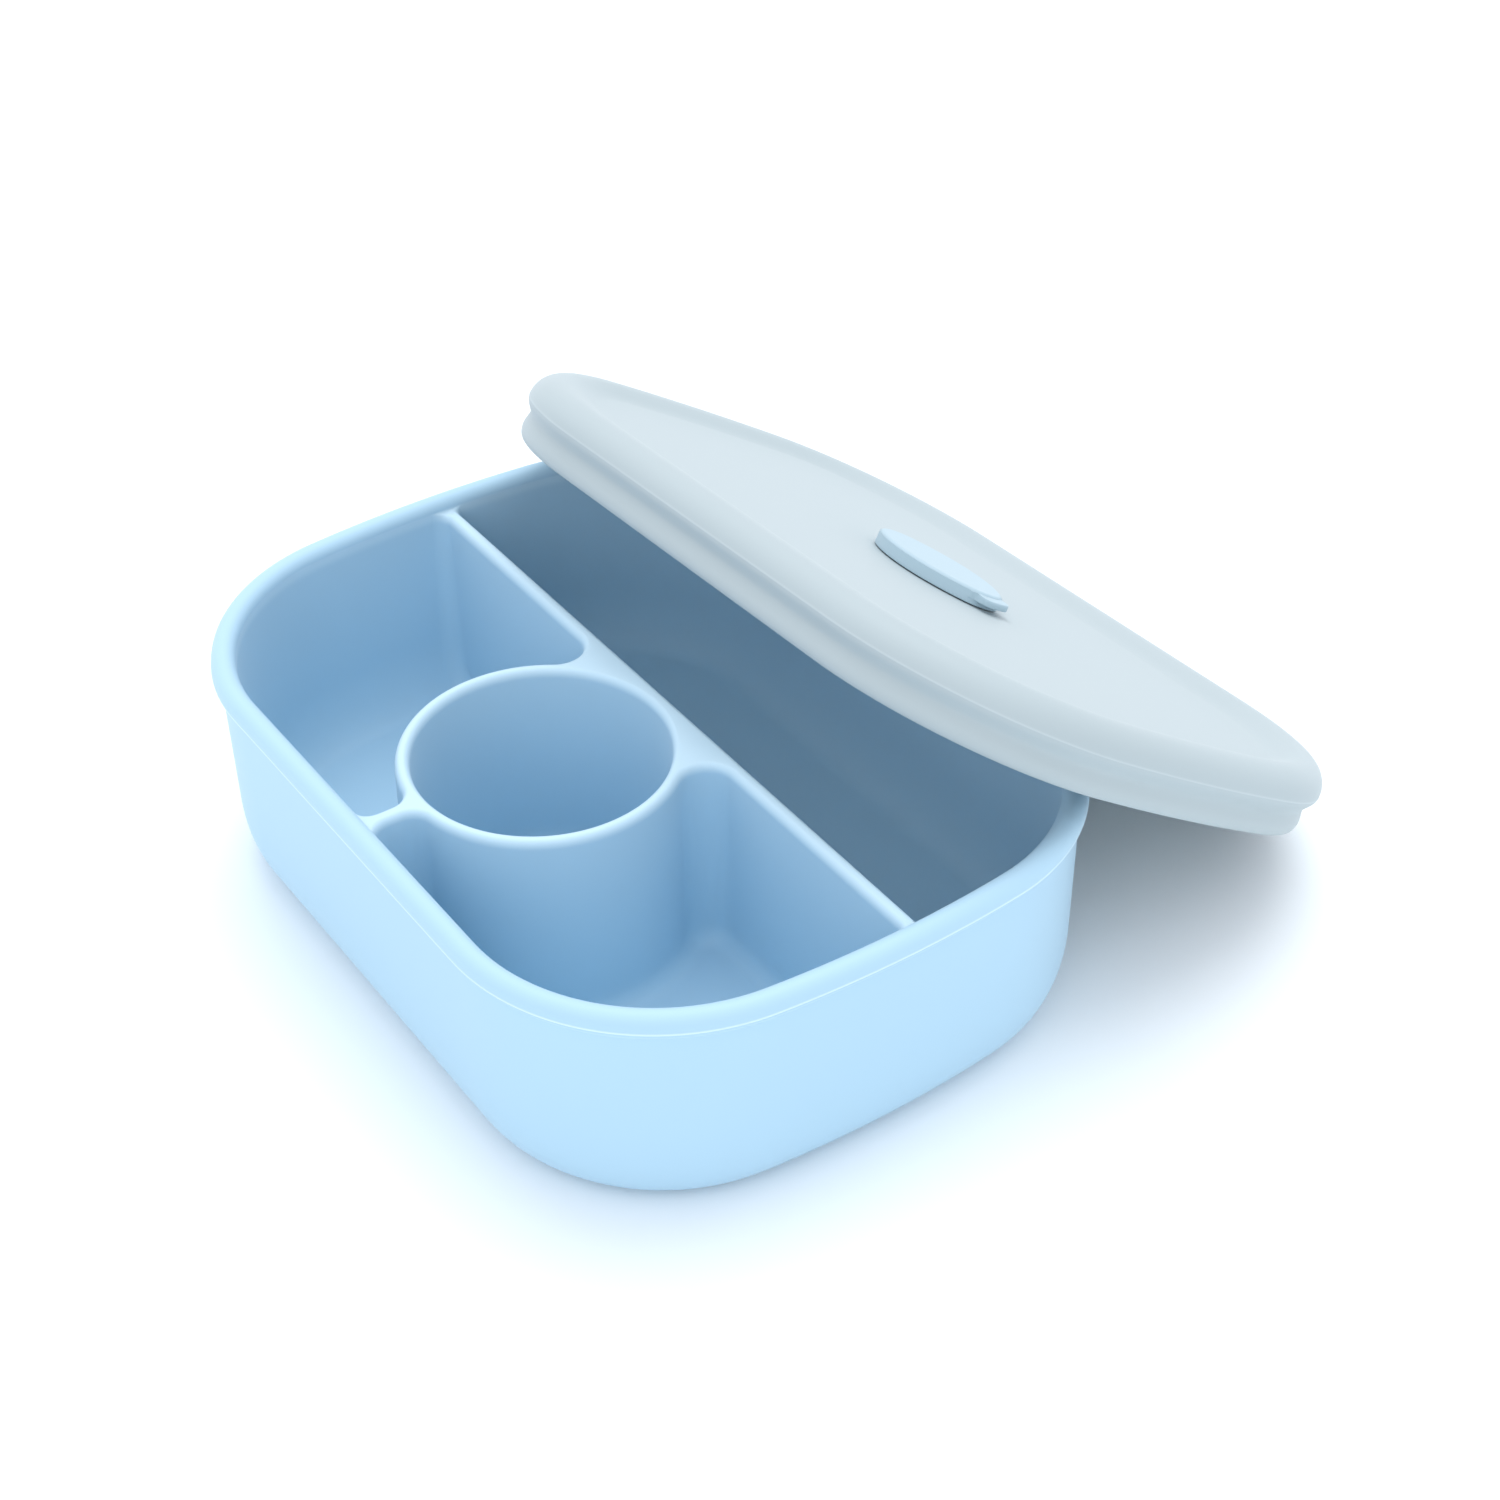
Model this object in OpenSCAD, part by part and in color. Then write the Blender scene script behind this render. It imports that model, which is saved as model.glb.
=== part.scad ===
// Divided silicone lunch box: a one-piece tray with a round cup, its press-on lid
// lying tipped against the back of the tray, and the oval vent plug in the lid.
// Origin: middle of the tray's flat underside. +X runs along the tray, +Y goes back, +Z up.

/* [Tray] */
// Length of the tray over its rim
tray_l = 200; // [190:1:215]
// Width of the tray over its rim
tray_w = 150; // [144:1:160]
// Height of the tray to the top of its rim
tray_h = 57; // [50:1:66]
// Radius of the four corners, seen from above
corner_r = 50; // [42:1:56]
// Radius of the slightly bowed short sides, seen from above
end_r = 290; // [220:10:500]
// Width of the round bead along the rim
rim_w = 5.8; // [5:0.1:7]
// How far the parting line of the bead lies below the top of the rim
parting_drop = 3.6; // [3.2:0.1:4.5]
// How far the wall steps in below the bead
bead_step = 1.8; // [1.2:0.1:2.4]
// Height of the slope under the bead
bead_slope = 3.1; // [2:0.1:5]
// Extra inset that the outer wall gains on its way down
outer_draft = 0.4; // [0:0.1:1]
// Extra inset that the inner wall gains on its way down
inner_draft = 1; // [0:0.1:1.6]
// Thickness of the floor
floor_t = 3; // [2.4:0.1:4]
// Width of the rounding at the foot of the wall
foot_w = 12.5; // [9:0.5:14]
// Height of the rounding at the foot of the wall
foot_h = 20; // [14:1:24]
// Radius between floor and walls, inside
floor_fillet = 5; // [3:0.5:6]

/* [Compartments] */
// How far the inner walls stay below the top of the rim
wall_drop = 3.5; // [2.5:0.1:6]
// Place of the long divider, behind the middle of the tray
divider_y = 6.4; // [3:0.1:10]
// Thickness of the long divider
divider_t = 3.9; // [3:0.1:5]
// Width of the round cup, inside
cup_d = 57.6; // [52:0.1:60]
// Thickness of the wall round the cup
cup_t = 3.4; // [2.8:0.1:4]
// Wall left between the cup and the rear compartment
cup_back = 4.2; // [3.6:0.1:5]
// Thickness of the short web in front of the cup
web_t = 4; // [3:0.1:5]
// Radius where the inner walls meet, seen from above
nook_r = 4; // [2.5:0.1:4.4]

/* [Lid] */
// Thickness of the lid's panel
panel_t = 2.3; // [1.8:0.1:3]
// Thickness of the lid over the top of the rim
crown_t = 1.3; // [1:0.1:2]
// Thickness of the lid outside the rim
cheek_t = 1.2; // [1:0.1:1.6]
// Depth of the skirt below the slope under the tray's bead
skirt_h = 8.2; // [6:0.1:10]
// Thickness of the skirt's lip
lip_t = 1.5; // [1.2:0.1:2]
// Depth of the groove between the lid's bead and its lip
groove = 0.6; // [0.3:0.1:0.7]
// Width of the slope from the crown down to the panel
slope_w = 8; // [6:0.5:14]

/* [Vent plug] */
// Length of the plug's oval head
plug_l = 37.2; // [32:0.1:42]
// Width of the plug's oval head
plug_w = 23.8; // [20:0.1:26]
// Height of the plug's head over the panel
plug_h = 3.6; // [3:0.1:5]
// Radius of the two ends of the head, seen from above
plug_end_r = 8; // [7:0.1:9]
// Rounding along the top of the head
plug_edge = 1; // [0.6:0.1:1.4]
// Place of the plug from the middle of the lid, to the right
plug_x = 2; // [-10:0.5:10]
// Place of the plug from the middle of the lid, to the back
plug_y = 1; // [0:0.5:10]
// Diameter of the stem
stem_d = 6; // [5:0.1:8]
// Length of the stem below the panel
stem_below = 1.5; // [1:0.1:1.6]
// How far the pull tab sticks out beyond the head
tab_l = 5; // [4:0.1:7]
// Width of the pull tab
tab_w = 8; // [7:0.1:10]
// Thickness of the pull tab
tab_t = 1.6; // [1.2:0.1:2]

/* [Fits] */
// Clearance between the closed lid and the rim
rim_fit = 0.3; // [0.2:0.05:0.5]
// Clearance between the closed lid and the inner walls and the tray's wall
wall_fit = 0.2; // [0.2:0.05:0.5]
// Clearance of the stem in its hole, all round
stem_fit = 0.25; // [0.15:0.05:0.4]
// Gap where the lid lies on the rim and on the table, and where the plug sits on the panel
rest_gap = 0.3; // [0.2:0.05:0.5]

/* [Lid at rest] */
// Lean of the lid, its front edge up
lean = 33.9; // [30:0.1:36]
// Tilt of the lid along its length
tilt = -2; // [-2.5:0.1:1]
// Turn of the lid, seen from above
turn = 1.7; // [-1:0.1:4]
// Place of the lid's middle along the tray
lid_x = -4.4; // [-5:0.1:4]

/* [Hidden] */
$fn = 96;

TRAY_COLOR = [0.76, 0.89, 0.98];
LID_COLOR = [0.85, 0.90, 0.94];
PLUG_COLOR = [0.80, 0.92, 0.99];

// Outline: straight long sides, round corners and bowed short sides that meet them smoothly
corner_y = tray_w / 2 - corner_r;
end_x = tray_l / 2 - end_r;
corner_x = end_x + sqrt(pow(end_r - corner_r, 2) - pow(corner_y, 2));
end_a = atan2(corner_y, corner_x - end_x);
// Points along a corner and along a bowed short side
corner_steps = 12;
end_steps = 4;

// Heights and places inside the tray
rim_r = rim_w / 2;
wall_top = tray_h - wall_drop;
parting_z = tray_h - parting_drop;
slope_z = parting_z - bead_slope;
cup_y = divider_y + divider_t / 2 - cup_back - cup_d / 2;
cup_out_r = cup_d / 2 + cup_t;
cup_mid_r = cup_d / 2 + cup_t / 2;
divider_front = divider_y - divider_t / 2;
inner_x = tray_l / 2 - rim_w;
inner_y = tray_w / 2 - rim_w;
superellipse = 2.5;
sink = 0.5;
// How far a solid or a cut runs past the face where it ends
over = 1;
// How deep the round of a nook's filling runs into the two walls that it joins
bite = 0.05;
// How far the filling itself runs into the tray's side wall
side_bite = 0.2;
round_r = nook_r + bite;

// Lip's widest place over its foot, the groove below the skirt's top, the bead's widest place
// over the skirt's top, and the small edge at the lip's foot
lip_z = 3;
groove_drop = 1.4;
bead_rise = 2;
foot_edge = 0.2;

// Lid, seen in its own frame: z is 0 at the foot of the skirt, x is out from the outline
skirt_z = slope_z - skirt_h - wall_fit;
lid_rim_z = tray_h - rim_r - skirt_z;
channel_r = rim_r + rim_fit;
panel_z = wall_top + wall_fit - skirt_z;
panel_top = panel_z + panel_t;
crown_z = lid_rim_z + channel_r + crown_t;
bead_out = rim_fit + cheek_t;
bead_z = skirt_h + bead_rise;
crown_x = bead_out - (crown_z - bead_z);
lip_in = wall_fit - bead_step;
lip_out = lip_in + lip_t;
lip_foot = lip_in + foot_edge;
groove_z = skirt_h - groove_drop;

// Vent plug
plug_side_r = (pow(plug_l / 2 - plug_end_r, 2) + pow(plug_w / 2, 2) - pow(plug_end_r, 2))
    / (plug_w - 2 * plug_end_r);
plug_a = atan2(plug_side_r - plug_w / 2, plug_l / 2 - plug_end_r);
tab_r = tab_w / 2 - 0.5;
plug_strip = plug_end_r - over;
plug_core = [plug_l - 2 * plug_strip + 2 * over, plug_w - 2 * plug_strip + 2 * over];

// Lid at rest: its lip stands on the table behind and its panel lies on the tray's rear rim.
// The support distances are the reach of the outline and of the rim along a direction.
lid_rot = [-lean, tilt, turn];
lid_normal = [
    cos(turn) * sin(tilt) * cos(lean) - sin(turn) * sin(lean),
    sin(turn) * sin(tilt) * cos(lean) + cos(turn) * sin(lean),
    cos(tilt) * cos(lean)
];
drop_dir = [abs(sin(tilt)), cos(tilt) * sin(lean)];
lip_reach = corner_x * drop_dir[0] + corner_y * drop_dir[1] + (corner_r + lip_foot) * norm(drop_dir);
rim_dir = [abs(lid_normal[0]), abs(lid_normal[1])];
rim_reach = corner_x * rim_dir[0] + corner_y * rim_dir[1] + (corner_r - rim_r) * norm(rim_dir)
    + (tray_h - rim_r) * lid_normal[2] + rim_r;
lid_z = lip_reach + rest_gap;
lid_y = (rim_reach + rest_gap - panel_z - lid_normal[2] * lid_z - lid_normal[0] * lid_x)
    / lid_normal[1];

// Points of an arc from angle a to angle b
function arc(centre, r, a, b, steps) = [
    for (i = [0 : steps]) let (t = a + (b - a) * i / steps) centre + r * [cos(t), sin(t)]
];

// Upright wall section with a round top and a fillet on the floor at either side
function wall_section(t) = concat(
    arc([0, wall_top - t / 2], t / 2, 0, 180, 10),
    arc([-t / 2 - floor_fillet, floor_t + floor_fillet], floor_fillet, 0, -90, 5),
    [[-t / 2 - floor_fillet, floor_t - sink], [t / 2 + floor_fillet, floor_t - sink]],
    arc([t / 2 + floor_fillet, floor_t + floor_fillet], floor_fillet, 270, 180, 5)
);

// Section of the tray from the floor over the rim to its underside, x out from the outline
function tray_section() =
    let (foot_x = -bead_step - outer_draft, wall_x = -rim_w - inner_draft)
    concat(
        arc([wall_x - floor_fillet, floor_t + floor_fillet], floor_fillet, -90, 0, 6),
        arc([-rim_r, tray_h - rim_r], rim_r, 180, 0, 10),
        [[0, parting_z], [-bead_step, slope_z]],
        [
            for (i = [0 : 9]) let (t = 10 * i)
            [
                foot_x - foot_w + foot_w * pow(cos(t), 2 / superellipse),
                foot_h - foot_h * pow(sin(t), 2 / superellipse)
            ]
        ]
    );

// Section of the lid: panel, slope, crown, bead, groove, lip, and the channel over the rim
function lid_section() =
    let (
        bead_r = crown_z - bead_z,
        rise = crown_z - panel_top,
        groove_x = lip_out - groove
    )
    concat(
        [
            for (i = [0 : 6]) let (s = i / 6)
            [crown_x - slope_w * (1 - s), panel_top + rise * (1 - cos(180 * s)) / 2]
        ],
        arc([crown_x, bead_z], bead_r, 75, 0, 5),
        [
            for (i = [1 : 5]) let (t = 18 * i)
            [
                groove_x + (bead_out - groove_x) * cos(t),
                bead_z - (bead_z - groove_z) * sin(t)
            ]
        ],
        [[lip_out - groove / 3, (2 * groove_z + lip_z) / 3]],
        [
            for (i = [0 : 5]) let (t = 18 * i)
            [lip_foot + (lip_out - lip_foot) * cos(t), lip_z - lip_z * sin(t)]
        ],
        [[lip_in, 2 * foot_edge], [lip_in, skirt_h]],
        arc([-rim_r, lid_rim_z], channel_r, -parting_angle(), 180, 12),
        [[-rim_w - rim_fit, panel_z]]
    );

// Angle below the level at which the channel wall leaves the rim's round
function parting_angle() = asin((parting_drop - rim_r) / channel_r);

module mirrored_x() {
    for (side = [0, 1]) mirror([side, 0, 0]) children();
}

module mirrored_y() {
    for (side = [0, 1]) mirror([0, side, 0]) children();
}

// Stations along the outline, counter-clockwise: centre of the arc, its radius, the direction
outline = concat(
    [for (i = [1 : end_steps - 1]) [end_x, 0, end_r, end_a * (2 * i / end_steps - 1)]],
    corner_stations(1, 1, end_a, 90),
    corner_stations(-1, 1, 90, 180 - end_a),
    [for (i = [1 : end_steps - 1]) [-end_x, 0, end_r, 180 + end_a * (2 * i / end_steps - 1)]],
    corner_stations(-1, -1, 180 + end_a, 270),
    corner_stations(1, -1, 270, 360 - end_a)
);

function corner_stations(side_x, side_y, from, to) = [
    for (i = [0 : corner_steps])
    [side_x * corner_x, side_y * corner_y, corner_r, from + (to - from) * i / corner_steps]
];

// Shell from a section that starts and ends on flat middles, carried round the outline
module carried_round(section) {
    n = len(outline);
    points = [
        for (p = section, s = outline)
        [s[0] + (s[2] + p[0]) * cos(s[3]), s[1] + (s[2] + p[0]) * sin(s[3]), p[1]]
    ];
    strips = [
        for (k = [0 : len(section) - 2], i = [0 : n - 1]) let (
            a = k * n + i,
            b = k * n + (i + 1) % n
        )
        each [[a, b, b + n], [a, b + n, a + n]]
    ];
    first = [for (i = [n - 1 : -1 : 0]) i];
    last = [for (i = [0 : n - 1]) (len(section) - 1) * n + i];
    polyhedron(points, concat(strips, [first, last]));
}

// Points of an upright wall's end, sunk into the tray's side wall at distance half
function wall_end(half) = concat(
    [[half - rim_w + over, wall_top + over]],
    arc(
        [half - rim_w - inner_draft - floor_fillet, floor_t + floor_fillet],
        floor_fillet + over, 0, -90, 6
    )
);

// A list of points in reverse order, mirrored left to right
function flipped(points) = [for (i = [len(points) - 1 : -1 : 0]) [-points[i][0], points[i][1]]];

// Wall along X with a round top, as long as the side view given by its outline
module inner_wall(t, side_view) {
    intersection() {
        rotate([90, 0, 90]) linear_extrude(2 * tray_l, center = true) polygon(wall_section(t));
        rotate([90, 0, 0]) linear_extrude(tray_w / 2, center = true) polygon(side_view);
    }
}

module divider() {
    side = wall_end(tray_l / 2);
    translate([0, divider_y, 0]) inner_wall(divider_t, concat(side, flipped(side)));
}

module cup() {
    translate([0, cup_y, 0])
        rotate_extrude() translate([cup_mid_r, 0]) polygon(wall_section(cup_t));
}

module web() {
    start = cup_mid_r - cup_y;
    rotate([0, 0, -90]) inner_wall(
        web_t,
        concat(wall_end(tray_w / 2), [[start, floor_t - sink], [start, wall_top + over]])
    );
}

// Upright filling of a nook between two walls, from a height up to just below their tops
module nook(from, points) {
    translate([0, 0, from]) linear_extrude(wall_top - over - from) polygon(points);
}

module cup_nooks() {
    by_divider = [
        sqrt(pow(cup_out_r + nook_r, 2) - pow(divider_front - nook_r - cup_y, 2)),
        divider_front - nook_r
    ];
    cusp_x = sqrt(pow(cup_mid_r, 2) - pow(divider_front - cup_y, 2));
    by_web = [
        web_t / 2 + nook_r,
        cup_y - sqrt(pow(cup_out_r + nook_r, 2) - pow(web_t / 2 + nook_r, 2))
    ];
    mirrored_x() {
        nook(floor_t - sink, concat(
            arc(by_divider, round_r, 90, 360 + atan2(cup_y - by_divider[1], -by_divider[0]), 8),
            [[cusp_x, divider_front + sink], [by_divider[0], divider_front + sink]]
        ));
        nook(floor_t - sink, concat(
            [[0, by_web[1]]],
            arc(by_web, round_r, 180, atan2(cup_y - by_web[1], -by_web[0]), 6),
            [[0, cup_y - cup_mid_r]]
        ));
    }
}

// Filling of a square nook in the corner of an inner wall's face and the tray's side wall
module square_nook() {
    nook(floor_t + floor_fillet / 2, concat(
        arc([-nook_r, -nook_r], round_r, 90, 0, 6),
        [[side_bite, -nook_r], [side_bite, sink], [-nook_r, sink]]
    ));
}

module wall_nooks() {
    mirrored_x() {
        translate([inner_x, divider_front, 0]) square_nook();
        translate([inner_x, divider_y + divider_t / 2, 0]) mirror([0, 1, 0]) square_nook();
        translate([web_t / 2, -inner_y, 0]) rotate([0, 0, -90]) mirror([0, 1, 0])
            square_nook();
    }
}

module tray() {
    color(TRAY_COLOR) {
        carried_round(tray_section());
        divider();
        cup();
        web();
        cup_nooks();
        wall_nooks();
    }
}

// Places what is drawn in the lid's frame where the lid lies
module lid_place() {
    translate([lid_x, lid_y, lid_z]) rotate(lid_rot) children();
}

module lid() {
    color(LID_COLOR) lid_place() difference() {
        carried_round(lid_section());
        translate([plug_x, plug_y, panel_z - over])
            cylinder(h = panel_t + 2 * over, d = stem_d + 2 * stem_fit);
    }
}

// Section of the plug's head, x out from the oval
function head_section() = concat(
    [[-plug_strip, plug_h]],
    arc([-plug_edge, plug_h - plug_edge], plug_edge, 90, 0, 4),
    [[0, 0], [-plug_strip, 0]]
);

module plug_head() {
    mirrored_x() translate([plug_l / 2 - plug_end_r, 0, 0]) rotate([0, 0, -plug_a])
        rotate_extrude(angle = 2 * plug_a) translate([plug_end_r, 0]) polygon(head_section());
    mirrored_y() translate([0, plug_w / 2 - plug_side_r, 0]) rotate([0, 0, plug_a])
        rotate_extrude(angle = 180 - 2 * plug_a) translate([plug_side_r, 0])
            polygon(head_section());
    translate([-plug_core[0] / 2, -plug_core[1] / 2, 0])
        cube([plug_core[0], plug_core[1], plug_h]);
}

module pull_tab() {
    tip = [plug_l / 2 + tab_l - tab_r, tab_w / 2 - tab_r];
    translate([0, 0, plug_h - plug_edge - tab_t]) linear_extrude(tab_t) polygon(concat(
        [[plug_l / 2 - plug_edge, -tab_w / 2]],
        arc([tip[0], -tip[1]], tab_r, -90, 0, 6),
        arc(tip, tab_r, 0, 90, 6),
        [[plug_l / 2 - plug_edge, tab_w / 2]]
    ));
}

module vent_plug() {
    stem_l = rest_gap + panel_t + stem_below;
    color(PLUG_COLOR) lid_place() translate([plug_x, plug_y, panel_top + rest_gap]) {
        plug_head();
        pull_tab();
        translate([0, 0, -stem_l]) cylinder(h = stem_l + sink, d = stem_d);
    }
}

tray();
lid();
vent_plug();
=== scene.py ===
"""Looks of a divided silicone lunch box: its tray, its lid lying tipped behind it, and the vent plug.

Every piece is a closed skin that replaces its CAD node. A skin starts from one loop of vertices on
the plan, and is extruded ring by ring along a section, the way a moulded shell is drawn.
"""

import logging
import math
from collections.abc import Callable
from dataclasses import dataclass, field
from enum import Enum
from typing import NamedTuple

import bmesh
import bpy
from mathutils import Euler, Matrix, Vector


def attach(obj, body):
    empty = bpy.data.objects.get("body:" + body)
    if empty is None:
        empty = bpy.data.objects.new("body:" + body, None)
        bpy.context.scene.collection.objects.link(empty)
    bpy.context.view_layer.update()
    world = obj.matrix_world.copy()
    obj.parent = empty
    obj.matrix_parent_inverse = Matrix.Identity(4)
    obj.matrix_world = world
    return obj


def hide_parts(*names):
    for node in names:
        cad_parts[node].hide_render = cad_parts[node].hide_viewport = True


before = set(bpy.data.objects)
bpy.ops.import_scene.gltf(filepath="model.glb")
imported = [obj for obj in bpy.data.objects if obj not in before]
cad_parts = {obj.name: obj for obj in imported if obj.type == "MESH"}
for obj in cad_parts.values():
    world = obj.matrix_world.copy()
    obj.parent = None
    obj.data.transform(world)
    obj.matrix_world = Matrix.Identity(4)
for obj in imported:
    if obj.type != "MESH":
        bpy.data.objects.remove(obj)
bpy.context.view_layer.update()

MM = 0.001
SAME = 0.01 * MM  # points of a plan line nearer than this are one
WELD = 0.002 * MM  # vertices nearer than this are merged
LOG = logging.getLogger("lunch_box")
PAINTED_HIGHLIGHT = "painted_highlight"
UP = Vector((0.0, 0.0, 1.0))


def smooth(t: float) -> float:
    """Rises from 0 to 1 with level ends."""
    t = min(max(t, 0.0), 1.0)
    return t * t * (3.0 - 2.0 * t)


def mix(a: float, b: float, t: float) -> float:
    """The value a share t of the way from a to b."""
    return a + (b - a) * t


def polar(centre: tuple[float, float], radius: float, degrees: float) -> Vector:
    """A point on a circle of the plan."""
    turn = math.radians(degrees)
    return Vector((centre[0] + radius * math.cos(turn), centre[1] + radius * math.sin(turn)))


def bearing(start: tuple[float, float], end: tuple[float, float]) -> float:
    """Direction in degrees from one point of the plan to another."""
    return math.degrees(math.atan2(end[1] - start[1], end[0] - start[0]))


def shares(steps: int) -> list[float]:
    """The share of the way that each of some even steps ends at; the last is 1."""
    return [i / steps for i in range(1, steps + 1)]


def turns(first: float, last: float, steps: int) -> list[float]:
    """Evenly spaced angles in radians, from a first to a last that are given in degrees."""
    return [math.radians(mix(first, last, i / steps)) for i in range(steps + 1)]


def cove(height: float, width: float, reach: float) -> float:
    """How far an elliptic cove stands off its wall, at a height over the floor."""
    left = 1.0 - min(height / reach, 1.0)
    return width * (1.0 - math.sqrt(1.0 - left**2))


# --------------------------------------------------------------------------------------
# Plan lines and skins


@dataclass(eq=False)
class Station:
    """One place along a wall's foot line on the plan.

    Attributes:
        point: Where the upright wall stands.
        inward: Unit way from the wall into the hollow that it bounds.
        top: Where the wall stands at its top, if not above its foot.
        crest: Where the rounding above this place ends, with its height.
        rise: Height of the rounding.
        draft: How much of the side wall's draft this place takes, 0 to 1.
        by_side: Where the cove along the side walls moves this place, for each unit of it.
        by_inner: The same for the cove along the inner walls.
    """

    point: Vector
    inward: Vector
    top: Vector | None = None
    crest: Vector = field(default_factory=lambda: Vector((0.0, 0.0, 0.0)))
    rise: float = 0.0
    draft: float = 0.0
    by_side: Vector = field(default_factory=lambda: Vector((0.0, 0.0)))
    by_inner: Vector = field(default_factory=lambda: Vector((0.0, 0.0)))


Edges = list[bmesh.types.BMEdge]
Anchors = dict[bmesh.types.BMVert, Station]


class Ring(NamedTuple):
    """One ring of a skin.

    Attributes:
        across: How far it lies inside the plan line, or on the lid outside it.
        height: Its height.
        share: How much of the lid's slope, or of the plug's tab, it takes.
        painted_highlight: How much painted highlight the silicone gets there, 1 at most.
    """

    across: float
    height: float
    share: float = 0.0
    painted_highlight: float = 0.0


def laid(station: Station, ring: Ring) -> Vector:
    """A ring's point at a station, straight across from the plan line."""
    return (station.point + station.inward * ring.across).to_3d() + UP * ring.height


class Skin:
    """Edges of a mesh that are extruded ring by ring, each vertex bound to its station."""

    def __init__(self, bm: bmesh.types.BMesh, anchors: Anchors, edges: Edges) -> None:
        """Takes the vertices' stations and the edges of the first ring."""
        self.bm = bm
        self.anchors = anchors
        self.edges = edges
        self.first = {station: vert for vert, station in anchors.items()}

    @classmethod
    def from_loop(
        cls, bm: bmesh.types.BMesh, stations: list[Station], place: Callable[[Station], Vector]
    ) -> "Skin":
        """Starts a skin from a closed loop of stations.

        Args:
            bm: The mesh that the skin grows in.
            stations: The loop's stations in order.
            place: Gives the first ring's point for a station.

        Returns:
            The skin with its first ring made.
        """
        verts = [bm.verts.new(place(s)) for s in stations]
        edges = [bm.edges.new((verts[i - 1], verts[i])) for i in range(len(verts))]
        return cls(bm, dict(zip(verts, stations)), edges)

    def extrude(self, place: Callable[[Station], Vector], painted_highlight: float = 0.0) -> None:
        """Adds a ring of faces.

        Args:
            place: Says where the ring's far vertices go.
            painted_highlight: How much painted highlight the silicone gets there, 1 at most.
        """
        layer = self.bm.verts.layers.float[PAINTED_HIGHLIGHT]
        made = bmesh.ops.extrude_edge_only(self.bm, edges=self.edges)["geom"]
        grown = {}
        for vert in (g for g in made if isinstance(g, bmesh.types.BMVert)):
            for edge in vert.link_edges:
                old = edge.other_vert(vert)
                if old in self.anchors:
                    grown[old] = vert
        self.edges = [self.bm.edges.get([grown[v] for v in edge.verts]) for edge in self.edges]
        self.anchors = {grown[old]: station for old, station in self.anchors.items()}
        for vert, station in self.anchors.items():
            vert.co = place(station)
            vert[layer] = painted_highlight

    def draw(self, section: list[Ring], place: Callable[[Station, Ring], Vector]) -> None:
        """Adds the rings of a section.

        Args:
            section: The rings in order.
            place: Gives a ring's point at a station.
        """
        for ring in section:
            self.extrude(lambda station, ring=ring: place(station, ring), ring.painted_highlight)

    def close(self, hole: Edges | None = None) -> None:
        """Fills the last ring, which lies flat, leaving out what a hole's edges bound."""
        if hole:
            bmesh.ops.triangle_fill(self.bm, use_beauty=True, edges=self.edges + hole)
        else:
            bmesh.ops.edgeloop_fill(self.bm, edges=self.edges)


def blank() -> bmesh.types.BMesh:
    """An empty mesh that can hold how much painted highlight each vertex gets."""
    bm = bmesh.new()
    bm.verts.layers.float.new(PAINTED_HIGHLIGHT)
    return bm


@dataclass(frozen=True)
class Outline:
    """Plan of the box at its rim: straight long sides, round corners, bowed short sides."""

    length: float
    width: float
    corner_r: float
    end_r: float

    @property
    def corner(self) -> tuple[float, float]:
        """Centre of the corner at the right and back."""
        side = self.width / 2 - self.corner_r
        along = math.sqrt((self.end_r - self.corner_r) ** 2 - side**2)
        return (self.length / 2 - self.end_r + along, side)

    @property
    def bow(self) -> tuple[float, float]:
        """Centre of the bow of the right short side."""
        return (self.length / 2 - self.end_r, 0.0)

    @property
    def bow_angle(self) -> float:
        """Half the angle of a bowed short side, in degrees."""
        return bearing(self.bow, self.corner)

    def outward(self, point: Vector) -> Vector:
        """Unit way out of the box on the plan, near the wall at a point."""
        sx, sy = math.copysign(1.0, point.x), math.copysign(1.0, point.y)
        if abs(point.x) <= self.corner[0]:
            return Vector((0.0, sy))
        from_corner = Vector((abs(point.x) - self.corner[0], abs(point.y) - self.corner[1]))
        low = math.degrees(math.atan2(from_corner.y, from_corner.x)) < self.bow_angle
        centre = self.bow if low else self.corner
        away = Vector((abs(point.x) - centre[0], abs(point.y) - centre[1])).normalized()
        return Vector((away.x * sx, away.y * sy))

    def stations(self) -> list[Station]:
        """Stations round the whole outline, counter-clockwise."""
        (cx, cy), (bx, _) = self.corner, self.bow
        bow, few, many = self.bow_angle, 10, 30
        legs = (
            ((bx, 0.0), self.end_r, -bow, bow, few),
            ((cx, cy), self.corner_r, bow, 90.0, many),
            ((-cx, cy), self.corner_r, 90.0, 180.0 - bow, many),
            ((-bx, 0.0), self.end_r, 180.0 - bow, 180.0 + bow, few),
            ((-cx, -cy), self.corner_r, 180.0 + bow, 270.0, many),
            ((cx, -cy), self.corner_r, 270.0, 360.0 - bow, many),
        )
        path = PlanPath()
        for centre, radius, start, end, steps in legs:
            path.arc(centre, radius, start, end, steps)
        return path.closed()


class Bend(Enum):
    """How an arc bends: round the hollow that it bounds, or into it."""

    ROUND = -1.0
    INTO = 1.0


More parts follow.
